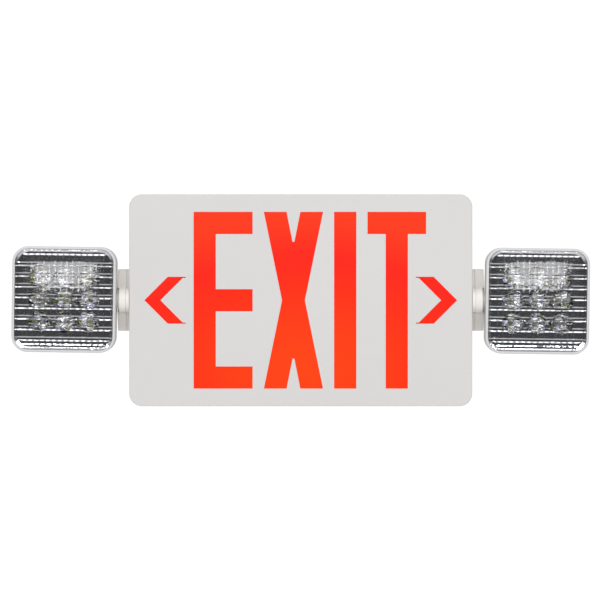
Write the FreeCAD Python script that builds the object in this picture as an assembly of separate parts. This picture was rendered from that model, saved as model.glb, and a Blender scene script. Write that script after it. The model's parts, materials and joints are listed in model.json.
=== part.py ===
import FreeCAD, Part
import math
import os
from FreeCAD import Vector as V

# Wall-mounted exit sign with two adjustable square lamp heads.
# Frame: origin at the centre of the back (wall) face, +X to the viewer's
# right, +Z up, the face looks along -Y. All sizes in millimetres.

# ---------------------------------------------------------------- housing
PANEL_W, PANEL_H, PANEL_R = 296.0, 182.9, 11.0     # face outline
FACE_Y = -60.0                                     # front of the face
FACE_T, SKIRT_T = 2.4, 2.2                         # face plate wall, skirt wall
SKIRT_BACK = -49.6                                 # rear edge of the skirt
EDGE_R = 0.35                                      # softened aperture edges
HOUSE_W, HOUSE_H, HOUSE_R = 295.2, 182.1, 10.6     # housing frame outline
HOUSE_T, BACK_T = 2.4, 2.8                         # side wall, back plate
HOUSE_FRONT = -49.2                                # shoulder behind the skirt
LIP_FRONT = -53.0                                  # lip that enters the skirt
# ---------------------------------------------------------------- legend
LETTER_H, STROKE = 152.4, 19.05                    # 6 in letters, 3/4 in stroke
E_X0, E_X1 = -92.4, -41.6
X_C, X_W, X_ARM, X_WAIST = -6.3, 51.0, 19.5, 19.6
X_NOTCH, X_TIP = 50.4, 1.7
I_X0, I_X1 = 28.8, 47.9
T_X0, T_X1 = 57.6, 108.1
CHEV_TIP, CHEV_INNER = 134.9, 121.1                # chevron tip, inner vertex
CHEV_Z = 20.2                                      # half height of a chevron
# ---------------------------------------------------------------- knuckle
PIVOT_Y = -48.5                                    # head pivot above the wall
BARREL_R = 10.9
LUG_H = 53.7
LUG_BACK, LUG_FLAT = -9.0, -34.0
LUG_SEAM, LUG_OUT, BARREL_OUT = 151.3, 159.0, 157.4
TRUNNION_R, TRUNNION_BORE = 7.0, 4.0
RUNNING = 0.06                                     # radial running clearance
# ---------------------------------------------------------------- heads
HEAD = 89.4                                        # head width, 3 1/2 in nominal
HEAD_H = 91.2                                      # head height
HEAD_R = 14.0
HEAD_IN = 159.4                                    # inboard wall of the head
HEAD_FRONT, HEAD_BACK = -66.0, -32.0
HEAD_T = 2.2
HEAD_CX = HEAD_IN + HEAD / 2
ROLL_DEG = 0.8                                     # play in the knuckle mounting
FLUTE, RIB = 5.05, 9.2                             # lens flute and rib pitch
CUP_PX, CUP_PZ, CUP_R = 20.8, 19.2, 9.45           # reflector cups
DECK_Y, CUP_Y = -60.0, -51.6
LEDGE, LEDGE_H = 83.2, 85.0                        # opening inside the lens ledge
BOARD_Y = -50.4
# ---------------------------------------------------------------- services
ENTRY_R = 11.1                                     # 7/8 in wire entry
BOX_PITCH = 88.9                                   # box ear screws
WALL_PX, WALL_PZ = 200.0, 140.0                    # wall screw rectangle
BUTTON_X, BUTTON_Y, BUTTON_R = 84.0, -21.0, 4.0
BUTTON_TRAVEL = 2.0
LAMP_X = 104.0                                     # indicator light pipe

os.makedirs("parts", exist_ok=True)
EX, EY, EZ = V(1, 0, 0), V(0, 1, 0), V(0, 0, 1)
NODES = {}


def box(x0, x1, y0, y1, z0, z1):
    return Part.makeBox(x1 - x0, y1 - y0, z1 - z0, V(x0, y0, z0))


def cyl(x, y, z, axis, r, length):
    return Part.makeCylinder(r, length, V(x, y, z), axis)


def rprism(cx, cz, w, h, r, y0, y1):
    """Rounded rectangle in the XZ plane, from y0 to y1 (y1 > y0)."""
    return Part.Face(rwire(cx, cz, w, h, r, y0)).extrude(V(0, y1 - y0, 0))


def rwire(cx, cz, w, h, r, y):
    a, b = w / 2, h / 2
    k = r * (1 - math.sqrt(0.5))
    p = lambda x, z: V(cx + x, y, cz + z)
    e = [Part.makeLine(p(-a + r, -b), p(a - r, -b)),
         Part.Arc(p(a - r, -b), p(a - k, -b + k), p(a, -b + r)).toShape(),
         Part.makeLine(p(a, -b + r), p(a, b - r)),
         Part.Arc(p(a, b - r), p(a - k, b - k), p(a - r, b)).toShape(),
         Part.makeLine(p(a - r, b), p(-a + r, b)),
         Part.Arc(p(-a + r, b), p(-a + k, b - k), p(-a, b - r)).toShape(),
         Part.makeLine(p(-a, b - r), p(-a, -b + r)),
         Part.Arc(p(-a, -b + r), p(-a + k, -b + k), p(-a + r, -b)).toShape()]
    return Part.Wire(e)


def poly_y(pts, y0, y1):
    """Polygon of (x, z) points, from y0 to y1."""
    w = Part.makePolygon([V(x, y0, z) for x, z in pts + pts[:1]])
    return Part.Face(w).extrude(V(0, y1 - y0, 0))


def poly_x(pts, x0, x1):
    """Polygon of (y, z) points, from x0 to x1."""
    w = Part.makePolygon([V(x0, y, z) for y, z in pts + pts[:1]])
    return Part.Face(w).extrude(V(x1 - x0, 0, 0))


def cut(a, *bs):
    for b in bs:
        a = a.cut(b)
    return a


def fuse(a, *bs):
    out = a.multiFuse(list(bs)) if bs else a
    return out.removeSplitter()


def solids(shape):
    s = shape.Solids
    return s[0] if len(s) == 1 else Part.makeCompound(s)


def fused_groups(shapes):
    """Fuse what touches, keep the rest as separate solids."""
    return Part.makeCompound(shapes[0].multiFuse(shapes[1:]).Solids)


def fillet(shape, r, pick):
    edges = [e for e in shape.Edges if pick(e)]
    return shape.makeFillet(r, edges) if edges else shape


def on_y(e, y, tol=1e-4):
    b = e.BoundBox
    return abs(b.YMin - y) < tol and abs(b.YMax - y) < tol


def on_x(e, x, tol=1e-4):
    b = e.BoundBox
    return abs(b.XMin - x) < tol and abs(b.XMax - x) < tol


def mirror(shape):
    return shape.mirror(V(0, 0, 0), V(1, 0, 0))


def roll(shape, side):
    """Turn about the Y line through the pivot: the play of the mounting."""
    out = shape.copy()
    out.rotate(V(side * 154.0, PIVOT_Y, 0), V(0, 1, 0), ROLL_DEG)
    return out


def route(points, r, name):
    """Tube of radius r along straight runs joined by tangent arcs."""
    pts = [V(*p) for p in points]
    edges, at, length, radii = [], pts[0], 0.0, []
    for i in range(1, len(pts) - 1):
        a, b, c = pts[i - 1], pts[i], pts[i + 1]
        u, v = (b - a), (c - b)
        lu, lv = u.Length, v.Length
        u.normalize()
        v.normalize()
        half = math.acos(max(-1.0, min(1.0, u.dot(v)))) / 2
        t = 0.45 * min(lu, lv)
        rad = t / math.tan(half)
        radii.append(round(rad, 1))
        p, q = b - u * t, b + v * t
        bis = (v - u)
        bis.normalize()
        centre = b + bis * (rad / math.cos(half))
        mid = centre + (b - centre).normalize() * rad
        if (p - at).Length > 1e-6:
            edges.append(Part.makeLine(at, p))
        edges.append(Part.Arc(p, mid, q).toShape())
        at = q
    edges.append(Part.makeLine(at, pts[-1]))
    wire = Part.Wire(edges)
    d = pts[1] - pts[0]
    ring = Part.Wire([Part.makeCircle(r, pts[0], d)])
    tube = wire.makePipeShell([ring], True, False)
    ratio = tube.Volume / (wire.Length * math.pi * r * r)
    print("%s length %.0f radii %s volume ratio %.3f" % (name, wire.Length, radii, ratio))
    return tube


def screw(x, y, z, axis, head_r, head_h, shank_r, length):
    """Pan head screw: head base at the point, shank along axis."""
    a = V(*axis)
    s = cyl(x, y, z, a, shank_r, length)
    h = cyl(x, y, z, a * -1, head_r, head_h)
    tip = V(x, y, z) - a * head_h
    h = h.makeFillet(head_h * 0.45, [e for e in h.Edges if len(e.Vertexes) == 1
                                     and abs((e.CenterOfMass - tip).dot(a)) < 1e-3])
    drive = box(-0.45, 0.45, -head_r * 0.6, head_r * 0.6, -1.1, 0.1)
    cross = fuse(drive, box(-head_r * 0.6, head_r * 0.6, -0.45, 0.45, -1.1, 0.1))
    cross.Placement = FreeCAD.Placement(tip, FreeCAD.Rotation(EZ, a * -1))
    return cut(fuse(h, s), cross)


# ================================================================ housing
TRAY_BOSS = ((-134, 76), (134, 76), (-134, -76), (30, -78))
BOARD_BOSS = ((54, -78), (134, -78), (54, -18), (134, -18))
STRAP_BOSS = ((-126, -6), (-64, -6))


def housing_frame():
    """Ring of side walls with the front lip and a rebate for the back plate."""
    b = rprism(0, 0, HOUSE_W, HOUSE_H, HOUSE_R, HOUSE_FRONT, 0)
    b = fillet(b, 1.2, lambda e: on_y(e, 0))
    b = b.cut(rprism(0, 0, HOUSE_W - 2 * HOUSE_T, HOUSE_H - 2 * HOUSE_T, HOUSE_R - HOUSE_T,
                     HOUSE_FRONT - 1, 1))
    # inward ledge that carries the lip and catches the face plate hooks
    ledge = cut(rprism(0, 0, HOUSE_W, HOUSE_H, HOUSE_R, HOUSE_FRONT, HOUSE_FRONT + 2.0),
                rprism(0, 0, 287.2, 173.6, 6.6, HOUSE_FRONT - 1, HOUSE_FRONT + 3))
    lip = cut(rprism(0, 0, 290.8, 177.2, 8.4, LIP_FRONT, HOUSE_FRONT + 0.5),
              rprism(0, 0, 287.2, 173.6, 6.6, LIP_FRONT - 1, HOUSE_FRONT + 1))
    # narrow rear ledge that the back plate is pressed against
    rear = cut(rprism(0, 0, HOUSE_W - 1, HOUSE_H - 1, HOUSE_R - 0.5, -BACK_T - 2.0, -BACK_T - 0.1),
               rprism(0, 0, 287.2, 173.6, 6.6, -BACK_T - 3, 0))
    b = fuse(b, ledge, lip, rear)
    for s in (-1, 1):
        x = s * 140.0
        for z in (-17.0, 17.0):
            b = b.cut(cyl(x, -24, z, V(s, 0, 0), 1.8, 12))
        b = b.cut(cyl(x, -24, 0, V(s, 0, 0), 5.2, 12))
    # bottom wall: test button and indicator
    b = b.cut(cyl(BUTTON_X, BUTTON_Y, -92, EZ, BUTTON_R + 0.08, 5))
    b = b.cut(cyl(LAMP_X, BUTTON_Y, -92, EZ, 2.55, 5))
    # cooling slots in the top and bottom walls
    for z in (-92, 86):
        for x in (-110, -100, -90, -80, -70):
            b = b.cut(box(x - 1.0, x + 1.0, -34, -12, z, z + 6))
    return b


def back_plate():
    """Wall plate with the fixing holes and the wire entry."""
    b = rprism(0, 0, HOUSE_W - 2 * HOUSE_T - 0.3, HOUSE_H - 2 * HOUSE_T - 0.3, HOUSE_R - HOUSE_T - 0.15,
               -BACK_T, 0)
    # wire entry, box screws, corner screws
    b = b.cut(cyl(0, -4, 0, EY, ENTRY_R, 8))
    for x in (-BOX_PITCH / 2, BOX_PITCH / 2):
        b = b.cut(cyl(x, -4, 0, EY, 2.4, 8))
    for x in (-WALL_PX / 2, WALL_PX / 2):
        for z in (-WALL_PZ / 2, WALL_PZ / 2):
            b = b.cut(cyl(x, -4, z, EY, 2.5, 8))
    return b


def plate_posts():
    """Screw posts and battery cradle moulded on the wall plate."""
    out = []
    for x, z in BOARD_BOSS:
        out.append(cyl(x, -10.4, z, EY, 3.5, 10.4 - BACK_T).cut(cyl(x, -11, z, EY, 1.25, 8.0)))
    for x, z in TRAY_BOSS:
        out.append(cyl(x, -32.0, z, EY, 4.0, 32.0 - BACK_T).cut(cyl(x, -33, z, EY, 1.25, 12.0)))
    for x, z in STRAP_BOSS:
        out.append(cyl(x, -18.4, z, EY, 4.0, 18.4 - BACK_T).cut(cyl(x, -19, z, EY, 1.25, 12.0)))
    # battery cradle
    out += [box(-121, -119.4, -10, -BACK_T, -34, 22), box(-70.6, -69, -10, -BACK_T, -34, 22),
            box(-118, -72, -5, -BACK_T, -36, -34.4), box(-118, -72, -5, -BACK_T, 22.4, 24)]
    return fused_groups(out)


def legend():
    z0, z1 = -LETTER_H / 2, LETTER_H / 2
    y0, y1 = FACE_Y - 1, FACE_Y + FACE_T + 1
    s = STROKE
    e = poly_y([(E_X0, z0), (E_X1, z0), (E_X1, z0 + s), (E_X0 + s, z0 + s), (E_X0 + s, -s / 2),
                (E_X1, -s / 2), (E_X1, s / 2), (E_X0 + s, s / 2), (E_X0 + s, z1 - s),
                (E_X1, z1 - s), (E_X1, z1), (E_X0, z1)], y0, y1)
    i = box(I_X0, I_X1, y0, y1, z0, z1)
    tc = (T_X0 + T_X1) / 2
    t = fuse(box(T_X0, T_X1, y0, y1, z1 - s, z1), box(tc - s / 2, tc + s / 2, y0, y1, z0, z1 - s + 1))
    a, w, n, c = X_W / 2, X_WAIST / 2, X_NOTCH, X_C
    k = X_TIP / 2
    g = a - X_ARM
    # the inner flanks of the arms meet in blunt notches above and below
    x = poly_y([(c - a, z0), (c - g, z0), (c - k, -n), (c + k, -n), (c + g, z0), (c + a, z0),
                (c + w, 0), (c + a, z1), (c + g, z1), (c + k, n), (c - k, n), (c - g, z1),
                (c - a, z1), (c - w, 0)], y0, y1)
    return [e, x, i, t]


def chevron(side):
    """Knocked-out chevron: two 45 degree arms cut level at the ends."""
    y0, y1 = FACE_Y - 1, FACE_Y + FACE_T + 1
    t, n, h = CHEV_TIP, CHEV_INNER, CHEV_Z
    pts = [(t, 0), (t - h, h), (n - h, h), (n, 0), (n - h, -h), (t - h, -h)]
    c = poly_y([(side * x, z) for x, z in pts], y0, y1)
    # the broken-off links at the ends leave small steps
    for z in (h, -h):
        zz = min(z, z - math.copysign(0.9, z)), max(z, z - math.copysign(0.9, z))
        x0, x1 = sorted((side * (n - h - 1.5), side * (n - h + 1.0)))
        c = c.fuse(box(x0, x1, y0, y1, zz[0], zz[1]))
    return c.removeSplitter()


def face_plate():
    f = rprism(0, 0, PANEL_W, PANEL_H, PANEL_R, FACE_Y, SKIRT_BACK)
    f = fillet(f, 0.8, lambda e: on_y(e, FACE_Y))
    f = cut(f, rprism(0, 0, PANEL_W - 2 * SKIRT_T, PANEL_H - 2 * SKIRT_T, PANEL_R - SKIRT_T,
                      FACE_Y + FACE_T, SKIRT_BACK + 1))
    # snap hooks that pass inside the lip and catch behind the ledge
    add = []
    for x in (-95, 95):
        for q in (-1, 1):
            z = sorted((q * 84.4, q * 86.2))
            add.append(box(x - 6, x + 6, FACE_Y + FACE_T - 0.5, -43.0, z[0], z[1]))
            barb = [(-46.9, q * 86.0), (-46.9, q * 87.9), (-43.0, q * 86.2), (-43.0, q * 86.0)]
            add.append(poly_x(barb, x - 5, x + 5))
    # stakes that hold the colour panel
    for x, z in ((-131, 78), (131, 78), (-131, -78), (131, -78), (-67, 79.9), (67, -79.9)):
        add.append(cyl(x, FACE_Y + FACE_T - 0.5, z, EY, 1.4, 2.6))
        add.append(cyl(x, -55.9, z, EY, 2.2, 0.8))
    f = fuse(f, *add)
    for c in legend() + [chevron(-1), chevron(1)]:
        f = f.cut(c)
    inside = [e for e in f.Edges if on_y(e, FACE_Y) and abs(e.CenterOfMass.x) < 140
              and abs(e.CenterOfMass.z) < 80]
    return f.makeFillet(EDGE_R, inside)


def red_panel():
    y = FACE_Y + FACE_T + 0.1
    p = rprism(0, 0, 276, 163.2, 4, y, y + 1.5)
    for x, z in ((-131, 78), (131, 78), (-131, -78), (131, -78), (-67, 79.9), (67, -79.9)):
        p = p.cut(cyl(x, y - 1, z, EY, 1.6, 4))
    return p


def light_tray():
    t = rprism(0, 0, 283.2, 167.6, 5, -54.6, -32.2)
    t = cut(t, rprism(0, 0, 280.2, 164.6, 3.5, -56, -33.8))
    for x, z in TRAY_BOSS:
        t = fuse(t, cyl(x, -36.4, z, EY, 4.4, 3))
    for x, z in TRAY_BOSS:
        t = t.cut(cyl(x, -37, z, EY, 1.6, 6))
    t = t.cut(cyl(70, -35, -74, EY, 3.0, 4))        # lead for the sign board
    return t


NODES["housing_frame"] = housing_frame()
NODES["back_plate"] = back_plate()
NODES["plate_posts"] = plate_posts()
NODES["face_plate"] = face_plate()
NODES["colour_panel"] = red_panel()
NODES["light_tray"] = light_tray()
NODES["tray_screws"] = Part.makeCompound(
    [screw(x, -36.4, z, (0, 1, 0), 2.9, 1.9, 1.2, 9.0) for x, z in TRAY_BOSS])

# sign lighting: a strip board on the floor of the tray, LEDs looking up
NODES["sign_board"] = box(-66, 66, -50, -40, -82.2, -81.0)
NODES["sign_leds"] = Part.makeCompound(
    [fuse(box(x - 1.75, x + 1.75, -46.4, -43.6, -81.0, -80.0),
          cyl(x, -45, -80.0, EZ, 1.2, 0.4)) for x in range(-60, 61, 12)])

# driver board and what is soldered to it
DB_Y = -12.0                                       # component face of the board
board = box(50, 138, DB_Y, DB_Y + 1.6, -82, -14)
for x, z in BOARD_BOSS:
    board = board.cut(cyl(x, DB_Y - 1, z, EY, 1.6, 4))
NODES["driver_board"] = board
NODES["board_screws"] = Part.makeCompound(
    [screw(x, DB_Y, z, (0, 1, 0), 2.9, 1.9, 1.2, 8.0) for x, z in BOARD_BOSS])
core = fuse(box(96, 128, DB_Y - 18, DB_Y, -52, -40), box(96, 101, DB_Y - 18, DB_Y, -52, -26),
            box(96, 128, DB_Y - 18, DB_Y, -31, -26), box(123, 128, DB_Y - 18, DB_Y, -52, -26))
NODES["transformer_core"] = core
NODES["transformer_winding"] = fillet(box(101.2, 122.8, DB_Y - 17, DB_Y - 1, -39.8, -31.2), 2.0,
                                      lambda e: e.BoundBox.YLength > 10)
NODES["capacitors"] = Part.makeCompound(
    [fillet(cyl(x, DB_Y - h, z, EY, r, h), 0.8, lambda e: e.BoundBox.YMax < DB_Y - h + 0.01)
     for x, z, r, h in ((64, -30, 5.0, 16), (78, -30, 4.0, 12), (70, -46, 4.0, 12))])
NODES["relay"] = fillet(box(58, 76, DB_Y - 12, DB_Y, -66, -56), 0.6,
                        lambda e: on_y(e, DB_Y - 12))
NODES["charger_chip"] = box(84, 92, DB_Y - 3, DB_Y, -66, -56)
tb = box(52, 58, DB_Y - 10, DB_Y, -52, -26)
for z in (-47.6, -39, -30.4):
    tb = tb.cut(box(51, 55, DB_Y - 5.5, DB_Y - 1.5, z - 2, z + 2))
    tb = tb.cut(cyl(55, DB_Y - 11, z, EY, 1.6, 3))
NODES["terminal_block"] = tb
NODES["lead_headers"] = Part.makeCompound(
    [box(x0, x1, DB_Y - 6, DB_Y, z0, z1) for x0, x1, z0, z1 in
     ((130, 137, -60, -53), (84, 91, -24, -17), (64, 71, -24, -17), (112, 119, -66, -60))])
NODES["indicator_led"] = fuse(box(LAMP_X - 2, LAMP_X + 2, -23, -19, -80, -77.8),
                              box(LAMP_X - 2, LAMP_X + 2, -21, DB_Y, -77.9, -75.5))

# test switch: button and its shaft, return spring, sealed switch
sw = box(BUTTON_X - 6, BUTTON_X + 6, BUTTON_Y - 5, DB_Y, -82.0, -71.0)
sw = sw.cut(cyl(BUTTON_X, BUTTON_Y, -83, EZ, 2.06, 8.5))
NODES["test_switch"] = sw
btn = cyl(BUTTON_X, BUTTON_Y, -92.4, EZ, BUTTON_R, 4.4)
btn = fillet(btn, 0.7, lambda e: e.BoundBox.ZMax < -92.3)
btn = fuse(btn, cyl(BUTTON_X, BUTTON_Y, -88.3, EZ, 5.6, 1.2), cyl(BUTTON_X, BUTTON_Y, -87.2, EZ, 2.0, 8.6))
NODES["test_button"] = btn
SPRING_Z0, SPRING_Z1, SPRING_R, WIRE_R = -87.1, -82.0, 3.4, 0.25
helix = Part.makeHelix((SPRING_Z1 - SPRING_Z0 - 2 * WIRE_R) / 4.0, SPRING_Z1 - SPRING_Z0 - 2 * WIRE_R, SPRING_R)
spring = Part.Wire(helix.Edges).makePipeShell(
    [Part.Wire([Part.makeCircle(WIRE_R, V(SPRING_R, 0, 0), V(0, 1, 0.06))])], True, True)
spring.translate(V(BUTTON_X, BUTTON_Y, SPRING_Z0 + WIRE_R))
NODES["button_spring"] = spring
pipe = cyl(LAMP_X, BUTTON_Y, -92.2, EZ, 2.45, 11.8)
pipe = fillet(pipe, 1.2, lambda e: e.BoundBox.ZMax < -92.1)
pipe = fuse(pipe, cyl(LAMP_X, BUTTON_Y, -88.4, EZ, 3.6, 1.0))
NODES["indicator_pipe"] = pipe

# battery: three cells in a shrink sleeve, lying in the cradle
cells = [cyl(-95 + i * 15.0, -10.4, -32, EZ, 7.4, 52) for i in (-1, 0, 1)]
pack = fuse(*(cells + [box(-110, -80, -17.4, -3.4, -32, 20)]))
NODES["battery_pack"] = pack
strap = fuse(box(-119.2, -70.8, -19.8, -18.4, -11, -1), box(-130, -119.2, -19.8, -18.4, -11, -1),
             box(-70.8, -60, -19.8, -18.4, -11, -1))
strap = cut(strap, cyl(-126, -21, -6, EY, 1.6, 4), cyl(-64, -21, -6, EY, 1.6, 4))
NODES["battery_strap"] = strap
NODES["strap_screws"] = Part.makeCompound(
    [screw(x, -19.8, z, (0, 1, 0), 2.9, 1.9, 1.2, 9.0) for x, z in STRAP_BOSS])
NODES["battery_lead"] = route([(-95, -10.4, 20.0), (-95, -10.4, 44), (-60, -10, 62), (0, -8, 62),
                               (50, -8, 54), (66, -9, 20), (67.5, -15, -4), (67.5, -15, -17.0)], 1.3, "battery_lead")
NODES["sign_lead"] = route([(115.5, -15, -66.0), (115.5, -15, -71.0), (112, -24, -74.5), (98, -29, -74.5),
                            (76, -29.2, -74.3), (70, -29.2, -74), (70, -38, -74), (66, -44, -75.5),
                            (64, -45, -77.5), (64, -45, -81.0)], 0.9, "sign_lead")


# ================================================================ knuckles
def lug_profile(inset, x0, x1, front=0.0):
    h, b, f = LUG_H / 2 - inset, LUG_BACK - inset, LUG_FLAT + inset * 0.45
    pts = [(b, h), (f, h), (-44.0 + inset, 9.9), (-44.0 + inset, -9.9), (f, -h), (b, -h)]
    return poly_x(pts, x0, x1)


def knuckle_base():
    """Inner half, against the side of the housing."""
    k = lug_profile(0, 147.6, LUG_SEAM - 0.2)
    k = fillet(k, 2.6, lambda e: abs(e.BoundBox.ZMax - e.BoundBox.ZMin) < 1e-4
               and abs(abs(e.CenterOfMass.z) - LUG_H / 2) < 1e-3 and e.BoundBox.XLength > 1
               and e.CenterOfMass.y < -20)
    k = fuse(k, cyl(147.6, PIVOT_Y, 0, EX, BARREL_R, LUG_SEAM - 0.2 - 147.6))
    # clear of the face plate skirt, which must slide off forwards
    k = k.cut(box(147, 148.3, -70, SKIRT_BACK + 0.4, -30, 30))
    # neck that enters the side wall, wire passage, recess behind the pivot
    k = fuse(k, cyl(145.2, -24, 0, EX, 5.0, 2.6))
    k = k.cut(cyl(144, -24, 0, EX, 3.4, 8))
    k = k.cut(fuse(cyl(149.5, PIVOT_Y, 0, EX, 9.2, 3), box(149.5, 152.5, PIVOT_Y, -24, -3.4, 3.4)))
    for z in (-17.0, 17.0):
        k = k.cut(cyl(146, -24, z, EX, 1.8, 6))
    return k


def knuckle(side):
    """Outer half: hollow shell with the pivot barrel."""
    k = lug_profile(0, LUG_SEAM, LUG_OUT)
    k = fillet(k, 2.6, lambda e: abs(e.BoundBox.ZMax - e.BoundBox.ZMin) < 1e-4
               and abs(abs(e.CenterOfMass.z) - LUG_H / 2) < 1e-3 and e.BoundBox.XLength > 1
               and e.CenterOfMass.y < -20)
    k = fillet(k, 0.8, lambda e: on_x(e, LUG_OUT))
    barrel = fillet(cyl(LUG_SEAM, PIVOT_Y, 0, EX, BARREL_R, BARREL_OUT - LUG_SEAM), 1.0,
                    lambda e: on_x(e, BARREL_OUT))
    k = k.cut(cyl(BARREL_OUT, PIVOT_Y, 0, EX, BARREL_R + 0.8, 3))
    k = fuse(k, barrel)
    cavity = lug_profile(2.2, LUG_SEAM - 1, 155.7)
    pillars = [cyl(LUG_SEAM, -24, z, EX, 3.6, 6) for z in (-17.0, 17.0)]
    k = fuse(k.cut(cavity), *pillars)
    for z in (-17.0, 17.0):
        k = k.cut(cyl(LUG_SEAM - 1, -24, z, EX, 1.3, 6.5))
    if side < 0:
        k = mirror(k)
    bore = cyl(150, PIVOT_Y, 0, EX, TRUNNION_R + RUNNING, 10)
    relief = cyl(LUG_SEAM - 2, PIVOT_Y, 0, EX, 9.2, 154.4 - LUG_SEAM + 2)
    for tool in (bore, relief):
        k = k.cut(roll(mirror(tool) if side < 0 else tool, side))
    return k


def trunnion():
    """Hollow pivot: flange inside the head, groove for the ring."""
    f = HEAD_IN + HEAD_T + 0.1                         # inside face of the head wall
    t = cyl(152.5, PIVOT_Y, 0, EX, TRUNNION_R, f + 0.1 - 152.5)
    t = fillet(t, 0.4, lambda e: on_x(e, 152.5))
    t = fuse(t, cyl(f, PIVOT_Y, 0, EX, 10.0, 2.1), box(HEAD_IN + 0.2, f + 0.3, PIVOT_Y - 1.5, PIVOT_Y + 1.5, 5.0, 8.8))
    t = t.cut(cyl(150, PIVOT_Y, 0, EX, TRUNNION_BORE, 20))
    groove = cyl(152.95, PIVOT_Y, 0, EX, 9, 0.9).cut(cyl(152, PIVOT_Y, 0, EX, 6.1, 4))
    return t.cut(groove)


def ring(x0, x1, ri, ro, gap):
    r = cyl(x0, PIVOT_Y, 0, EX, ro, x1 - x0).cut(cyl(x0 - 1, PIVOT_Y, 0, EX, ri, x1 - x0 + 2))
    if gap:
        r = r.cut(box(x0 - 1, x1 + 1, PIVOT_Y - gap, PIVOT_Y + gap, -ro - 1, -ri + 1))
    return r


# ================================================================ lamp head
def head_shell():
    s = rprism(HEAD_CX, 0, HEAD, HEAD_H, HEAD_R, HEAD_FRONT, HEAD_BACK)
    s = fillet(s, 7.0, lambda e: on_y(e, HEAD_BACK))
    s = fillet(s, 1.1, lambda e: on_y(e, HEAD_FRONT))
    w, h = HEAD - 2 * HEAD_T, HEAD_H - 2 * HEAD_T
    inner = rprism(HEAD_CX, 0, w, h, HEAD_R - HEAD_T, HEAD_FRONT - 1, HEAD_BACK - HEAD_T)
    inner = fillet(inner, 5.0, lambda e: on_y(e, HEAD_BACK - HEAD_T))
    s = s.cut(inner)
    ledge = rprism(HEAD_CX, 0, w + 1, h + 1, HEAD_R - HEAD_T + 0.5, -62.9, -61.3)
    s = fuse(s, ledge.cut(rprism(HEAD_CX, 0, LEDGE, LEDGE_H, 9.6, -64, -60)))
    bosses = [cyl(HEAD_CX + dx, BOARD_Y + 1.6, dz, EY, 3.0, HEAD_BACK - HEAD_T + 0.6 - BOARD_Y - 1.6)
              for dx in (-32, 32) for dz in (-31, 31)]
    s = fuse(s, *bosses)
    for dx in (-32, 32):
        for dz in (-31, 31):
            s = s.cut(cyl(HEAD_CX + dx, BOARD_Y + 1, dz, EY, 1.2, 10))
    s = s.cut(cyl(HEAD_IN - 1, PIVOT_Y, 0, EX, TRUNNION_R + 0.1, 6))
    s = s.cut(box(HEAD_IN - 1, HEAD_IN + 4, PIVOT_Y - 1.6, PIVOT_Y + 1.6, 5.0, 8.9))
    return s


def head_lens():
    """Clear cover: bevelled border, upright flutes inside and level grooves
    across the front."""
    y_back, y_edge, y_top = -62.9, -65.2, -66.3
    w, h = HEAD - 2 * HEAD_T - 0.4, HEAD_H - 2 * HEAD_T - 0.4
    r = HEAD_R - HEAD_T - 0.2
    base = rprism(HEAD_CX, 0, w, h, r, y_edge, y_back)
    bevel = Part.makeLoft([rwire(HEAD_CX, 0, w - 0.4, h - 0.4, r - 0.2, y_edge),
                           rwire(HEAD_CX, 0, w - 4.2, h - 4.2, r - 2.0, y_top)], True, True)
    lens = fuse(base, bevel)
    # flutes: a row of half-round ribs standing on a low pad on the inner face
    n, half, pad = 14, 39.4, 0.3
    x0 = HEAD_CX - n * FLUTE / 2
    edges = []
    for i in range(n):
        a = x0 + i * FLUTE
        edges.append(Part.Arc(V(a, y_back + pad, -half), V(a + FLUTE / 2, y_back + pad + 0.6, -half),
                              V(a + FLUTE, y_back + pad, -half)).toShape())
    x1 = x0 + n * FLUTE
    edges += [Part.makeLine(V(x1, y_back + pad, -half), V(x1, y_back - 0.6, -half)),
              Part.makeLine(V(x1, y_back - 0.6, -half), V(x0, y_back - 0.6, -half)),
              Part.makeLine(V(x0, y_back - 0.6, -half), V(x0, y_back + pad, -half))]
    flutes = Part.Face(Part.Wire(edges)).extrude(V(0, 0, 2 * half))
    # both ends of the flutes slope down to the cover
    flutes = flutes.common(poly_x([(y_back - 0.6, -half - 0.87), (y_back + 1.0, -half + 1.45),
                                   (y_back + 1.0, half - 1.45), (y_back - 0.6, half + 0.87)], x0 - 1, x1 + 1))
    lens = fuse(lens, flutes)
    # level grooves: flat floor, 30 degree flanks
    x0, x1 = HEAD_CX - w / 2 + 2.6, HEAD_CX + w / 2 - 2.6
    for k in range(8):
        z = (k - 3.5) * RIB - 1.9
        lens = lens.cut(poly_x([(y_top - 0.2, z - 2.21), (y_top + 0.5, z - 1.0), (y_top + 0.5, z + 1.0),
                                (y_top - 0.2, z + 2.21)], x0, x1))
    return lens


def cup_profile(extra, y_front, y_base):
    """Revolved bowl of one LED cup, grown outward by extra."""
    rf, rb = CUP_R + extra, 3.5 + extra
    rm = 0.74 * rf + 0.26 * rb
    ym = y_front + 0.55 * (y_base - y_front)
    arc = Part.Arc(V(rf, y_front, 0), V(rm, ym, 0), V(rb, y_base, 0)).toShape()
    w = Part.Wire([Part.makeLine(V(0, y_front, 0), V(rf, y_front, 0)), arc,
                   Part.makeLine(V(rb, y_base, 0), V(0, y_base, 0)),
                   Part.makeLine(V(0, y_base, 0), V(0, y_front, 0))])
    return Part.Face(w).revolve(V(0, 0, 0), EY, 360)


LED_AT = [(HEAD_CX + i * CUP_PX, k * CUP_PZ) for i in (-1, 0, 1) for k in (-1, 0, 1)]


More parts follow.
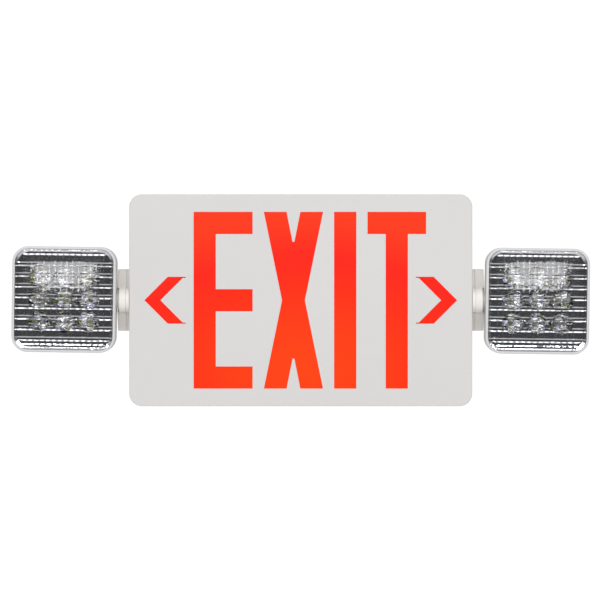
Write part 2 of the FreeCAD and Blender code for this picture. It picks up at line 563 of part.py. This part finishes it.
def head_reflector():
    deck = rprism(HEAD_CX, 0, LEDGE - 0.6, LEDGE_H - 0.6, 9.3, DECK_Y, DECK_Y + 1.2)
    outer = cup_profile(0.55, DECK_Y, CUP_Y)
    inner = cup_profile(0.0, DECK_Y - 0.02, CUP_Y + 0.02)
    outs, ins = [], []
    for x, z in LED_AT:
        for src, dst in ((outer, outs), (inner, ins)):
            c = src.copy()
            c.translate(V(x, 0, z))
            dst.append(c)
    legs = []
    for dx in (-24, 24):
        legs.append(cyl(HEAD_CX + dx, DECK_Y + 0.6, 33.4, EY, 1.8, BOARD_Y - DECK_Y - 0.6))
        legs.append(cyl(HEAD_CX + dx, DECK_Y + 0.6, -33.4, EY, 1.8, BOARD_Y - DECK_Y - 0.6))
        for z in (33.4, -33.4):
            legs.append(cyl(HEAD_CX + dx, BOARD_Y - 0.5, z, EY, 1.0, 3.0))
    r = fuse(deck, *(outs + legs))
    for c in ins:
        r = r.cut(c)
    return r


def led_board():
    b = box(HEAD_CX - 36, HEAD_CX + 36, BOARD_Y, BOARD_Y + 1.6, -36, 36)
    for dx in (-32, 32):
        for dz in (-31, 31):
            b = b.cut(cyl(HEAD_CX + dx, BOARD_Y - 1, dz, EY, 1.5, 4))
    for dx in (-24, 24):
        for dz in (-33.4, 33.4):
            b = b.cut(cyl(HEAD_CX + dx, BOARD_Y - 1, dz, EY, 1.1, 4))
    return b


def leds():
    out = []
    for x, z in LED_AT:
        die = box(x - 1.5, x + 1.5, BOARD_Y - 0.8, BOARD_Y, z - 1.5, z + 1.5)
        dome = Part.makeSphere(1.2, V(x, BOARD_Y - 0.8, z), V(0, -1, 0), 0, 90, 360)
        out.append(fuse(die, dome))
    return Part.makeCompound(out)


def head_screws():
    return Part.makeCompound([screw(HEAD_CX + dx, BOARD_Y, dz, (0, 1, 0), 2.3, 1.6, 1.1, 7.0)
                              for dx in (-32, 32) for dz in (-31, 31)])


def head_plug():
    """Lead socket on the back of the LED board."""
    return box(HEAD_CX - 31, HEAD_CX - 24, BOARD_Y + 1.6, BOARD_Y + 7.6, -10, -3)


SHELL, LENS, REFL, BRD = head_shell(), head_lens(), head_reflector(), led_board()
LEDS, HSCREWS, TRUN, PLUG = leds(), head_screws(), trunnion(), head_plug()
RING = ring(153.0, 153.8, 6.2, 8.8, 2.6)
WASHER = ring(153.9, 154.4, 7.4, 8.9, 0)
BASE = knuckle_base()
KSCREWS = Part.makeCompound([screw(145.2, -24, z, (1, 0, 0), 3.0, 2.2, 1.2, 9.6) for z in (-17.0, 17.0)])
HEAD_LEAD = route([(158.3, PIVOT_Y, 0), (162.4, PIVOT_Y, 0), (166.0, PIVOT_Y + 2.0, -3.2),
                   (169.2, PIVOT_Y + 3.0, -6.5), (HEAD_CX - 31.0, PIVOT_Y + 3.0, -6.5)], 1.1, "head_lead")

for side, tag in ((-1, "left"), (1, "right")):
    m = mirror if side < 0 else (lambda s: s)
    NODES[tag + "_knuckle_base"] = m(BASE)
    NODES[tag + "_knuckle"] = knuckle(side)
    NODES[tag + "_knuckle_screws"] = m(KSCREWS)
    NODES[tag + "_wave_washer"] = roll(m(WASHER), side)
    for name, shape in (("trunnion", TRUN), ("snap_ring", RING), ("head_shell", SHELL),
                        ("head_lens", LENS), ("head_reflector", REFL), ("led_board", BRD),
                        ("leds", LEDS), ("head_screws", HSCREWS), ("lead_socket", PLUG),
                        ("head_lead", HEAD_LEAD)):
        NODES[tag + "_" + name] = roll(m(shape), side)

# lamp leads from the driver board through the side walls into the pivots
NODES["right_lamp_lead"] = route([(137.0, -15, -56.5), (141.2, -15, -56.5), (141.4, -16, -48), (141.2, -20, -12),
                                  (144.4, -24, 0), (151.1, -24, 0),
                                  (151.1, PIVOT_Y, 0), (157.9, PIVOT_Y, -0.07)], 1.1, "right_lamp_lead")
NODES["left_lamp_lead"] = route([(87.5, -15, -17.0), (87.5, -15, -9), (86, -12, 14), (60, -9, 66), (8, -9, 74), (-60, -9, 74),
                                 (-118, -10, 70), (-139, -14, 36), (-141, -22, 10),
                                 (-144.4, -24, 0), (-151.1, -24, 0),
                                 (-151.1, PIVOT_Y, 0), (-157.9, PIVOT_Y, 0.07)], 1.1, "left_lamp_lead")

total = None
for name, shape in NODES.items():
    shape = shape if shape.ShapeType == "Compound" and len(shape.Solids) > 1 else solids(shape)
    b = shape.BoundBox
    flag = "" if shape.isValid() and all(s.isClosed() and s.Volume > 0 for s in shape.Solids) else "  BAD"
    print("%-22s solids %2d volume %9.1f  x %.1f..%.1f y %.1f..%.1f z %.1f..%.1f%s" % (
        name, len(shape.Solids), shape.Volume, b.XMin, b.XMax, b.YMin, b.YMax, b.ZMin, b.ZMax, flag))
    shape.exportStep("parts/%s.step" % name)
print(len(NODES), "nodes")
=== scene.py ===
import json
import math

import bpy
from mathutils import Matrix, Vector


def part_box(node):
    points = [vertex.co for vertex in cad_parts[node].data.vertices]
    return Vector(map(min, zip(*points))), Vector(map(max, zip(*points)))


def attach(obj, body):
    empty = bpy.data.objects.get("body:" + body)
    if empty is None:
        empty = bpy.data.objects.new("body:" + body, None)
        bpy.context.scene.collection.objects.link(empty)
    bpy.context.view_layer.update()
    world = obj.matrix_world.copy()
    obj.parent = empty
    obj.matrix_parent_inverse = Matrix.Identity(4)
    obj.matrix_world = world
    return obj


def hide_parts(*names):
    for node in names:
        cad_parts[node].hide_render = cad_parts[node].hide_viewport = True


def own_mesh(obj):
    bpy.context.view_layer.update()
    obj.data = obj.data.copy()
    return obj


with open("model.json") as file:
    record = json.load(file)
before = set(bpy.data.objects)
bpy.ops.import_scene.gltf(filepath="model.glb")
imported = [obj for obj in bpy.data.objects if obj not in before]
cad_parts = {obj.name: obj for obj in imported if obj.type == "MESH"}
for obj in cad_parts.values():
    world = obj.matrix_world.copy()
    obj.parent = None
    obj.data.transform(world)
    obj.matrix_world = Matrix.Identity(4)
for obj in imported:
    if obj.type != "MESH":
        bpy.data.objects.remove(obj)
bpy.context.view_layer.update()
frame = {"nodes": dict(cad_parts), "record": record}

scene = bpy.context.scene


# ------------------------------------------------------------ node helpers
class Mat:
    """A material whose main shader is a Principled BSDF."""

    def __init__(self, name):
        self.m = bpy.data.materials.new(name)
        self.m.use_nodes = True
        self.t = self.m.node_tree
        self.t.nodes.clear()
        self.out = self.t.nodes.new("ShaderNodeOutputMaterial")
        self.b = self.t.nodes.new("ShaderNodeBsdfPrincipled")
        self.link(self.b, "BSDF", self.out, "Surface")
        self.co = self.t.nodes.new("ShaderNodeTexCoord")

    def link(self, a, sa, b, sb):
        self.t.links.new(a.outputs[sa], b.inputs[sb])

    def set(self, **kw):
        for k, v in kw.items():
            self.b.inputs[k.replace("_", " ")].default_value = v
        return self

    def node(self, kind, **props):
        n = self.t.nodes.new(kind)
        for k, v in props.items():
            setattr(n, k, v)
        return n

    def noise(self, scale, detail=3.0, rough=0.5, stretch=None):
        n = self.node("ShaderNodeTexNoise")
        n.inputs["Scale"].default_value = scale
        n.inputs["Detail"].default_value = detail
        n.inputs["Roughness"].default_value = rough
        if stretch is None:
            self.link(self.co, "Object", n, "Vector")
        else:
            m = self.node("ShaderNodeMapping")
            m.inputs["Scale"].default_value = stretch
            self.link(self.co, "Object", m, "Vector")
            self.link(m, "Vector", n, "Vector")
        return n

    def ramp(self, src, socket, stops):
        r = self.node("ShaderNodeValToRGB")
        e = r.color_ramp.elements
        while len(e) < len(stops):
            e.new(0.5)
        for i, (p, c) in enumerate(stops):
            e[i].position = p
            e[i].color = (*c, 1.0) if len(c) == 3 else c
        self.link(src, socket, r, "Fac")
        return r

    def maprange(self, src, socket, a, b, c, d):
        r = self.node("ShaderNodeMapRange")
        for k, v in zip(("From Min", "From Max", "To Min", "To Max"), (a, b, c, d)):
            r.inputs[k].default_value = v
        self.link(src, socket, r, "Value")
        return r

    def bump(self, src, socket, strength, distance, under=None):
        b = self.node("ShaderNodeBump")
        b.inputs["Strength"].default_value = strength
        b.inputs["Distance"].default_value = distance
        self.link(src, socket, b, "Height")
        if under is not None:
            self.link(under, "Normal", b, "Normal")
        return b


def moulded(name, lo, hi, rough=(0.38, 0.46), grain=1500.0, grain_bump=0.10, spec=0.45, sss=0.0):
    """Moulded thermoplastic: faint tone drift, fine spark texture, slow waviness."""
    m = Mat(name)
    drift = m.noise(9.0, 2.0)
    tone = m.ramp(drift, "Fac", [(0.30, lo), (0.70, hi)])
    m.link(tone, "Color", m.b, "Base Color")
    fine = m.noise(grain, 2.0, 0.6)
    r = m.maprange(fine, "Fac", 0.3, 0.7, rough[0], rough[1])
    m.link(r, "Result", m.b, "Roughness")
    wave = m.noise(28.0, 1.0)
    b0 = m.bump(wave, "Fac", 0.05, 0.0006)
    b1 = m.bump(fine, "Fac", grain_bump, 0.00006, b0)
    m.link(b1, "Normal", m.b, "Normal")
    m.set(Specular_IOR_Level=spec)
    if sss:
        m.set(Subsurface_Weight=sss, Subsurface_Scale=0.002)
    return m.m


def red_panel(name):
    """Translucent red panel: lit from the strip board below, brighter and more orange low down at the middle. Its
    outer ring, near the top, is a painted sheen that stands in for light from above."""
    m = Mat(name)
    grain = m.noise(900.0, 2.0)
    m.set(Base_Color=(0.84, 0.012, 0.002, 1), Roughness=0.34, Specular_IOR_Level=0.13)
    # distance from the glow centre, flattened along the strip
    mp = m.node("ShaderNodeMapping")
    mp.inputs["Location"].default_value = (-0.002 / 0.115, 0, 0.060 / 0.070)
    mp.inputs["Scale"].default_value = (1 / 0.115, 0.0, 1 / 0.070)
    m.link(m.co, "Object", mp, "Vector")
    ln = m.node("ShaderNodeVectorMath", operation="LENGTH")
    m.link(mp, "Vector", ln, 0)
    half = m.maprange(ln, "Value", 0.0, 2.0, 0.0, 1.0)
    # emission ramp: the sign's own glow, except the outer stop at 0.95, which is a painted sheen near the top for
    # light from above
    glow_and_painted_sheen = m.ramp(half, "Result", [(0.0, (1.0, 0.125, 0.000)), (0.25, (1.0, 0.095, 0.000)), (0.5, (1.0, 0.040, 0.002)),
                                   (0.70, (0.90, 0.012, 0.010)), (0.95, (1.0, 0.085, 0.014))])
    m.link(glow_and_painted_sheen, "Color", m.b, "Emission Color")
    m.set(Emission_Strength=0.36)
    b = m.bump(grain, "Fac", 0.04, 0.00005)
    m.link(b, "Normal", m.b, "Normal")
    return m.m


HEAD_X = 0.2041                                     # centre of a lamp head
CROWN = [(-0.042, 0.0), (0.002, 0.010), (0.009, 0.058), (0.031, 0.085), (0.035, 0.02), (0.042, 0.0)]   # height, slope of the cover
CUP_X, CUP_Z = 0.0208, 0.0192                       # spacing of the bowls
FACET, UNTRUE = 0.16, 0.85                          # pillow slope, random lean of the facets


def head_mask(m, x_in, x_out, stops):
    """1 near the middle of either lamp head in X, times a ramp along Z
    given as (z, value) stops."""
    sep = m.node("ShaderNodeSeparateXYZ")
    m.link(m.co, "Object", sep, "Vector")
    ax = m.node("ShaderNodeMath", operation="ABSOLUTE")
    m.link(sep, "X", ax, 0)
    dx = m.node("ShaderNodeMath", operation="SUBTRACT")
    m.link(ax, "Value", dx, 0)
    dx.inputs[1].default_value = HEAD_X
    adx = m.node("ShaderNodeMath", operation="ABSOLUTE")
    m.link(dx, "Value", adx, 0)
    mx = m.maprange(adx, "Value", x_in, x_out, 1.0, 0.0)
    z0, z1 = stops[0][0], stops[-1][0]
    mz = m.maprange(sep, "Z", z0, z1, 0.0, 1.0)
    rz = m.ramp(mz, "Result", [((z - z0) / (z1 - z0), (v, v, v)) for z, v in stops])
    out = m.node("ShaderNodeMath", operation="MULTIPLY")
    m.link(mx, "Result", out, 0)
    m.link(rz, "Color", out, 1)
    return out, sep


def clear_lens(name):
    """Clear moulded cover with a slight crown, a trace of haze and moulding
    ripple."""
    m = Mat(name)
    m.set(Base_Color=(0.985, 0.99, 1.0, 1), Roughness=0.012, IOR=1.55, Transmission_Weight=1.0)
    w = m.noise(140.0, 2.0)
    b0 = m.bump(w, "Fac", 0.10, 0.0004)
    fine = m.noise(420.0, 1.0, 0.5, (1.0, 1.0, 0.7))
    b = m.bump(fine, "Fac", 0.22, 0.0003, b0)
    lean, sep = head_mask(m, 0.018, 0.042, CROWN)
    nsep = m.node("ShaderNodeSeparateXYZ")
    m.link(b, "Normal", nsep, "Vector")
    front = m.maprange(nsep, "Y", -0.95, -0.90, 1.0, 0.0)
    amount = m.node("ShaderNodeMath", operation="MULTIPLY")
    m.link(lean, "Value", amount, 0)
    m.link(front, "Result", amount, 1)
    up = m.node("ShaderNodeCombineXYZ")
    m.link(amount, "Value", up, "Z")
    add = m.node("ShaderNodeVectorMath", operation="ADD")
    m.link(b, "Normal", add, 0)
    m.link(up, "Vector", add, 1)
    nrm = m.node("ShaderNodeVectorMath", operation="NORMALIZE")
    m.link(add, "Vector", nrm, 0)
    m.link(nrm, "Vector", m.b, "Normal")
    return m.m


def metallised(name):
    """Vacuum metallised moulding: every bowl is made of small pillowed
    facets in rings, none of them quite true."""
    m = Mat(name)
    m.set(Metallic=1.0)

    def mth(op, a, b=None):
        n = m.node("ShaderNodeMath", operation=op)
        for k, v in enumerate((a, b)):
            if v is None:
                continue
            if isinstance(v, (int, float)):
                n.inputs[k].default_value = v
            else:
                m.t.links.new(v, n.inputs[k])
        return n.outputs["Value"]

    veil, sep = head_mask(m, 0.030, 0.038, [(-0.036, 0.0), (0.004, 0.05), (0.020, 0.25), (0.037, 0.2)])
    X, Z = sep.outputs["X"], sep.outputs["Z"]
    sx = mth("SIGN", X)
    lx = mth("SUBTRACT", mth("ABSOLUTE", X), HEAD_X)
    cx = mth("SUBTRACT", lx, mth("MULTIPLY", mth("ROUND", mth("DIVIDE", lx, CUP_X)), CUP_X))
    cz = mth("SUBTRACT", Z, mth("MULTIPLY", mth("ROUND", mth("DIVIDE", Z, CUP_Z)), CUP_Z))
    r = mth("MAXIMUM", mth("SQRT", mth("ADD", mth("MULTIPLY", cx, cx), mth("MULTIPLY", cz, cz))), 0.0002)
    phi = mth("ARCTAN2", cz, cx)
    ring = mth("SINE", mth("MULTIPLY", r, 2 * math.pi / 0.0030))
    spoke = mth("SINE", mth("MULTIPLY", phi, 12.0))
    ux, uz = mth("DIVIDE", cx, r), mth("DIVIDE", cz, r)
    tx = mth("SUBTRACT", mth("MULTIPLY", ring, ux), mth("MULTIPLY", spoke, uz))
    tz = mth("ADD", mth("MULTIPLY", ring, uz), mth("MULTIPLY", spoke, ux))
    tilt = m.node("ShaderNodeCombineXYZ")
    m.t.links.new(mth("MULTIPLY", tx, sx), tilt.inputs["X"])
    m.t.links.new(tz, tilt.inputs["Z"])
    pil = m.node("ShaderNodeVectorMath", operation="SCALE")
    m.link(tilt, "Vector", pil, 0)
    pil.inputs["Scale"].default_value = FACET
    vor = m.node("ShaderNodeTexVoronoi", feature="F1")
    vor.inputs["Scale"].default_value = 740.0
    m.link(m.co, "Object", vor, "Vector")
    sub = m.node("ShaderNodeVectorMath", operation="SUBTRACT")
    m.link(vor, "Color", sub, 0)
    sub.inputs[1].default_value = (0.5, 0.5, 0.5)
    off = m.node("ShaderNodeVectorMath", operation="SCALE")
    m.link(sub, "Vector", off, 0)
    off.inputs["Scale"].default_value = UNTRUE
    both = m.node("ShaderNodeVectorMath", operation="ADD")
    m.link(pil, "Vector", both, 0)
    m.link(off, "Vector", both, 1)
    depth = m.maprange(sep, "Y", -0.0599, -0.0592, 0.03, 1.0)
    sc = m.node("ShaderNodeVectorMath", operation="SCALE")
    m.link(both, "Vector", sc, 0)
    m.link(depth, "Result", sc, "Scale")
    geo = m.node("ShaderNodeNewGeometry")
    add = m.node("ShaderNodeVectorMath", operation="ADD")
    m.link(geo, "Normal", add, 0)
    m.link(sc, "Vector", add, 1)
    nrm = m.node("ShaderNodeVectorMath", operation="NORMALIZE")
    m.link(add, "Vector", nrm, 0)
    m.link(nrm, "Vector", m.b, "Normal")
    # painted reflections: some facets in the bowls are tinted yellow-green and bluish to stand in for coloured light
    # they mirror
    pick = m.node("ShaderNodeSeparateColor")
    m.link(vor, "Color", pick, "Color")
    painted_reflection_tint = m.ramp(pick, "Red", [(0.0, (0.40, 0.42, 0.07)), (0.08, (0.40, 0.42, 0.07)), (0.10, (0.60, 0.60, 0.84)),
                                (0.22, (0.68, 0.68, 0.88)), (0.25, (0.78, 0.78, 0.79)), (1.0, (0.84, 0.84, 0.84))])
    flat = m.node("ShaderNodeMix", data_type="RGBA")
    flat.inputs["A"].default_value = (0.84, 0.84, 0.86, 1)
    m.link(painted_reflection_tint, "Color", flat, "B")
    inside = m.maprange(sep, "Y", -0.0599, -0.0590, 0.0, 1.0)
    m.link(inside, "Result", flat, "Factor")
    m.link(flat, "Result", m.b, "Base Color")
    rr = m.maprange(veil, "Value", 0.0, 1.0, 0.03, 0.30)
    m.link(rr, "Result", m.b, "Roughness")
    return m.m


def steel(name, c, rough=0.32):
    m = Mat(name)
    m.set(Metallic=1.0)
    n = m.noise(700.0, 3.0, 0.6, (1, 1, 0.2))
    col = m.ramp(n, "Fac", [(0.3, tuple(v * 0.88 for v in c)), (0.7, c)])
    m.link(col, "Color", m.b, "Base Color")
    r = m.maprange(n, "Fac", 0.3, 0.7, rough - 0.06, rough + 0.08)
    m.link(r, "Result", m.b, "Roughness")
    return m.m


def board(name, mask, edge, metal=0.0):
    """Circuit board: solder mask over a faint web of copper traces."""
    m = Mat(name)
    br = m.node("ShaderNodeTexBrick")
    br.inputs["Scale"].default_value = 120.0
    br.inputs["Mortar Size"].default_value = 0.02
    br.inputs["Color1"].default_value = (*mask, 1)
    br.inputs["Color2"].default_value = (*[v * 1.12 for v in mask], 1)
    br.inputs["Mortar"].default_value = (*edge, 1)
    mp = m.node("ShaderNodeMapping")
    mp.inputs["Rotation"].default_value = (math.radians(90), 0, 0)
    m.link(m.co, "Object", mp, "Vector")
    m.link(mp, "Vector", br, "Vector")
    m.link(br, "Color", m.b, "Base Color")
    m.set(Roughness=0.24, Metallic=metal)
    b = m.bump(br, "Fac", 0.2, 0.00005)
    m.link(b, "Normal", m.b, "Normal")
    return m.m


def led(name, body, dome, split_y):
    """LED package: pale body, coloured dome in front of the split plane."""
    m = Mat(name)
    sep = m.node("ShaderNodeSeparateXYZ")
    m.link(m.co, "Object", sep, "Vector")
    r = m.maprange(sep, "Y", split_y - 0.0001, split_y + 0.0001, 1.0, 0.0)
    mix = m.node("ShaderNodeMix", data_type="RGBA")
    mix.inputs["A"].default_value = (*body, 1)
    mix.inputs["B"].default_value = (*dome, 1)
    m.link(r, "Result", mix, "Factor")
    m.link(mix, "Result", m.b, "Base Color")
    n = m.noise(2400.0, 2.0)
    rr = m.maprange(n, "Fac", 0.3, 0.7, 0.10, 0.18)
    m.link(rr, "Result", m.b, "Roughness")
    m.set(Coat_Weight=0.6, Coat_Roughness=0.03)
    return m.m


def glossy(name, lo, hi, rough=0.22, coat=0.0):
    m = Mat(name)
    n = m.noise(400.0, 3.0)
    c = m.ramp(n, "Fac", [(0.3, lo), (0.7, hi)])
    m.link(c, "Color", m.b, "Base Color")
    r = m.maprange(n, "Fac", 0.3, 0.7, rough * 0.85, rough * 1.2)
    m.link(r, "Result", m.b, "Roughness")
    if coat:
        m.set(Coat_Weight=coat, Coat_Roughness=0.05)
    b = m.bump(n, "Fac", 0.05, 0.0001)
    m.link(b, "Normal", m.b, "Normal")
    return m.m


def pipe_glass(name):
    m = Mat(name)
    n = m.noise(300.0, 2.0)
    r = m.maprange(n, "Fac", 0.3, 0.7, 0.04, 0.10)
    m.link(r, "Result", m.b, "Roughness")
    m.set(Base_Color=(0.75, 0.95, 0.78, 1), IOR=1.49, Transmission_Weight=0.85)
    return m.m


SLOTS = {
    "housing_plastic": moulded("housing_plastic", (0.735, 0.722, 0.700), (0.760, 0.748, 0.728), (0.42, 0.52), 1100.0, 0.22),
    "face_plastic": moulded("face_plastic", (0.722, 0.708, 0.694), (0.740, 0.728, 0.716), (0.36, 0.44), 1700.0, 0.06),
    # knuckle: a warm cream, set much paler than its own colour so that it paints in light that the shaded slot between
    # face plate and lamp head does not get
    "knuckle_plastic": moulded("knuckle_plastic", (0.940, 0.900, 0.855), (0.955, 0.920, 0.880), (0.32, 0.40), 1500.0, 0.08),
    "head_plastic": moulded("head_plastic", (0.70, 0.70, 0.705), (0.73, 0.73, 0.735), (0.30, 0.38), 1700.0, 0.08),
    "tray_plastic": moulded("tray_plastic", (0.86, 0.86, 0.85), (0.89, 0.89, 0.88), (0.5, 0.6)),
    "pivot_plastic": moulded("pivot_plastic", (0.70, 0.69, 0.65), (0.74, 0.73, 0.69), (0.3, 0.4)),
    "header_white": moulded("header_white", (0.74, 0.73, 0.67), (0.78, 0.77, 0.71), (0.35, 0.45)),
    "red_panel": red_panel("red_panel"),
    "clear_lens": clear_lens("clear_lens"),
    "metallised": metallised("metallised"),
    "circuit_board": board("circuit_board", (0.012, 0.11, 0.035), (0.03, 0.20, 0.07)),
    "led_board_white": board("led_board_white", (0.46, 0.46, 0.45), (0.56, 0.56, 0.55), 0.8),
    "led_yellow": led("led_yellow", (0.34, 0.34, 0.31), (0.42, 0.40, 0.14), -0.0512),
    "led_red": glossy("led_red", (0.60, 0.02, 0.015), (0.75, 0.04, 0.02), 0.12, 0.5),
    "screw_steel": steel("screw_steel", (0.62, 0.62, 0.63), 0.30),
    "spring_steel": steel("spring_steel", (0.50, 0.51, 0.53), 0.26),
    "core_steel": steel("core_steel", (0.20, 0.20, 0.21), 0.45),
    "winding_tape": glossy("winding_tape", (0.72, 0.46, 0.05), (0.80, 0.54, 0.08), 0.25),
    "black_parts": glossy("black_parts", (0.018, 0.018, 0.020), (0.030, 0.030, 0.033), 0.4),
    "can_aluminium": glossy("can_aluminium", (0.03, 0.05, 0.16), (0.05, 0.07, 0.20), 0.25, 0.4),
    "terminal_green": glossy("terminal_green", (0.02, 0.16, 0.05), (0.03, 0.20, 0.07), 0.35),
    "button_red": glossy("button_red", (0.55, 0.02, 0.015), (0.62, 0.03, 0.02), 0.28, 0.3),
    "light_pipe": pipe_glass("light_pipe"),
    "battery_sleeve": glossy("battery_sleeve", (0.02, 0.07, 0.28), (0.03, 0.09, 0.34), 0.22, 0.5),
    "lead_sleeve": glossy("lead_sleeve", (0.02, 0.02, 0.021), (0.03, 0.03, 0.032), 0.45),
    "lead_red": glossy("lead_red", (0.42, 0.02, 0.015), (0.50, 0.03, 0.02), 0.45),
}
for sub in frame["record"]["subparts"]:
    ob = frame["nodes"][sub["node"]]
    ob.data.materials.clear()
    ob.data.materials.append(SLOTS[sub["material_slot"]])

# ------------------------------------------------------------ button spring
# A coil with closed end turns, in the space of its CAD node.
lo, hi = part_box("button_spring")
WIRE = 0.00025
COIL_R = (hi.x - lo.x) / 2 - WIRE
COIL_X, COIL_Y = (lo.x + hi.x) / 2, (lo.y + hi.y) / 2
Z_LOW, Z_HIGH = lo.z + WIRE, hi.z - WIRE
TURNS, PER_TURN, SIDES = 5.5, 32, 10
verts, faces = [], []
steps = int(TURNS * PER_TURN)
for i in range(steps + 1):
    turn = i / PER_TURN
    a = 2 * math.pi * turn
    rise = min(max((turn - 0.75) / (TURNS - 1.5), 0.0), 1.0)
    cz = Z_LOW + rise * (Z_HIGH - Z_LOW)
    for k in range(SIDES):
        b = 2 * math.pi * k / SIDES
        r = COIL_R + WIRE * math.cos(b)
        verts.append((COIL_X + r * math.cos(a), COIL_Y + r * math.sin(a), cz + WIRE * math.sin(b)))
for i in range(steps):
    for k in range(SIDES):
        p, q = i * SIDES + k, i * SIDES + (k + 1) % SIDES
        faces.append((p, p + SIDES, q + SIDES, q))
faces.append(tuple(range(SIDES)))
faces.append(tuple(steps * SIDES + k for k in reversed(range(SIDES))))
coil_mesh = bpy.data.meshes.new("spring_coil")
coil_mesh.from_pydata(verts, [], faces)
coil_mesh.update()
for poly in coil_mesh.polygons:
    poly.use_smooth = len(poly.vertices) == 4
coil = bpy.data.objects.new("spring_coil", coil_mesh)
scene.collection.objects.link(coil)
coil_mesh.materials.append(SLOTS["spring_steel"])
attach(coil, "housing")
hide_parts("button_spring")
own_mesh(coil)

# ------------------------------------------------------------ camera
FACE_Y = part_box("face_plate")[0].y
DIST = 3.0
ELEV = math.radians(0.6)
PX_PER_M = 1159.4
cam_data = bpy.data.cameras.new("camera")
cam = bpy.data.objects.new("camera", cam_data)
scene.collection.objects.link(cam)
scene.camera = cam
cam_data.sensor_width = 36.0
cam_data.lens = PX_PER_M * DIST * 36.0 / 600.0
cam_data.clip_start, cam_data.clip_end = 0.05, 50.0
back = Vector((0.0, -math.cos(ELEV), math.sin(ELEV)))
aim = Vector((-0.75 / PX_PER_M, FACE_Y, 0.3 / PX_PER_M))
cam.location = aim + back * DIST
cam.rotation_mode = "QUATERNION"
cam.rotation_quaternion = (-back).to_track_quat("-Z", "Y")


# ------------------------------------------------------------ stage
def plain(name, colour, rough=0.9):
    m = Mat(name)
    m.set(Base_Color=(*colour, 1), Roughness=rough, Specular_IOR_Level=0.1)
    return m.m


bpy.ops.mesh.primitive_circle_add(vertices=128, radius=4.2, fill_type="NGON", location=(0, 0, -3.3))
floor = bpy.context.object
floor.name = "stage_ground"
floor.data.materials.append(plain("stage_pale", (0.86, 0.86, 0.86)))


def area(name, loc, target, size, power, colour=(1, 1, 1)):
    d = bpy.data.lights.new(name, "AREA")
    d.shape = "RECTANGLE"
    d.size, d.size_y = size
    d.energy = power
    d.color = colour
    o = bpy.data.objects.new(name, d)
    scene.collection.objects.link(o)
    o.location = loc
    o.rotation_mode = "QUATERNION"
    o.rotation_quaternion = (Vector(target) - Vector(loc)).to_track_quat("-Z", "Y")
    return o


area("high_soft", (0, -1.25, 1.75), (0, 0, 0), (2.6, 0.7), 4.2)
area("front_soft", (0, -2.0, 1.75), (0, 0, 0), (1.8, 0.60), 14)
area("eye_strip", (0, -3.3, 0.56), (0, 0, 0), (2.2, 0.38), 16)
area("low_bounce", (0, -2.4, -1.05), (0, 0, 0), (1.2, 0.60), 3.6)
area("low_steep", (0, -1.5, -1.75), (0, 0, 0), (2.0, 0.7), 6)
area("side_left", (-2.1, -1.3, 0.2), (0, 0, 0), (0.5, 1.2), 2)
area("side_right", (2.1, -1.3, 0.2), (0, 0, 0), (0.5, 1.2), 2)

# white to the camera; to everything else a soft studio, pale above, with
# the dark of the room straight in front for the bright metal to mirror
world = bpy.data.worlds.new("world")
scene.world = world
world.use_nodes = True
wt = world.node_tree
wt.nodes.clear()


def wn(kind, **inputs):
    n = wt.nodes.new(kind)
    for k, v in inputs.items():
        n.inputs[k.replace("_", " ")].default_value = v
    return n


def wmath(op, a, b=None):
    n = wt.nodes.new("ShaderNodeMath")
    n.operation = op
    for i, v in enumerate((a, b)):
        if v is None:
            continue
        if isinstance(v, (int, float)):
            n.inputs[i].default_value = v
        else:
            wt.links.new(v, n.inputs[i])
    return n.outputs["Value"]


def wramp(socket, stops, lo, hi):
    mr = wn("ShaderNodeMapRange", From_Min=lo, From_Max=hi)
    wt.links.new(socket, mr.inputs["Value"])
    r = wn("ShaderNodeValToRGB")
    wt.links.new(mr.outputs["Result"], r.inputs["Fac"])
    el = r.color_ramp.elements
    while len(el) < len(stops):
        el.new(0.5)
    for i, (p, v) in enumerate(stops):
        el[i].position = (p - lo) / (hi - lo)
        el[i].color = (v, v, v, 1)
    return r.outputs["Color"]


wo = wn("ShaderNodeOutputWorld")
seen = wn("ShaderNodeBackground", Color=(1, 1, 1, 1), Strength=1.05)
amb = wn("ShaderNodeBackground", Strength=1.0)
tc, sp, lp = wn("ShaderNodeTexCoord"), wn("ShaderNodeSeparateXYZ"), wn("ShaderNodeLightPath")
wt.links.new(tc.outputs["Generated"], sp.inputs["Vector"])
by_z = wramp(sp.outputs["Z"], [(-1.0, 0.58), (-0.35, 0.70), (-0.2, 0.64), (0.2, 0.56), (0.5, 0.46), (1.0, 0.60)], -1.0, 1.0)
u = wmath("DIVIDE", sp.outputs["X"], 1.6)
v = wmath("DIVIDE", sp.outputs["Z"], 0.15)
rad = wmath("SQRT", wmath("ADD", wmath("MULTIPLY", u, u), wmath("MULTIPLY", v, v)))
hole = wramp(rad, [(0.0, 0.09), (0.55, 0.11), (1.15, 1.0), (2.0, 1.0)], 0.0, 2.0)
front = wmath("LESS_THAN", sp.outputs["Y"], 0.0)
mask = wt.nodes.new("ShaderNodeMix")
mask.data_type = "RGBA"
mask.inputs["A"].default_value = (1, 1, 1, 1)
wt.links.new(front, mask.inputs["Factor"])
wt.links.new(hole, mask.inputs["B"])
mul = wt.nodes.new("ShaderNodeMix")
mul.data_type = "RGBA"
mul.blend_type = "MULTIPLY"
mul.inputs["Factor"].default_value = 1.0
wt.links.new(by_z, mul.inputs["A"])
wt.links.new(mask.outputs["Result"], mul.inputs["B"])
wt.links.new(mul.outputs["Result"], amb.inputs["Color"])
mixw = wt.nodes.new("ShaderNodeMixShader")
wt.links.new(lp.outputs["Is Camera Ray"], mixw.inputs["Fac"])
wt.links.new(amb.outputs["Background"], mixw.inputs[1])
wt.links.new(seen.outputs["Background"], mixw.inputs[2])
wt.links.new(mixw.outputs["Shader"], wo.inputs["Surface"])

scene.view_settings.view_transform = "Standard"
scene.view_settings.look = "None"
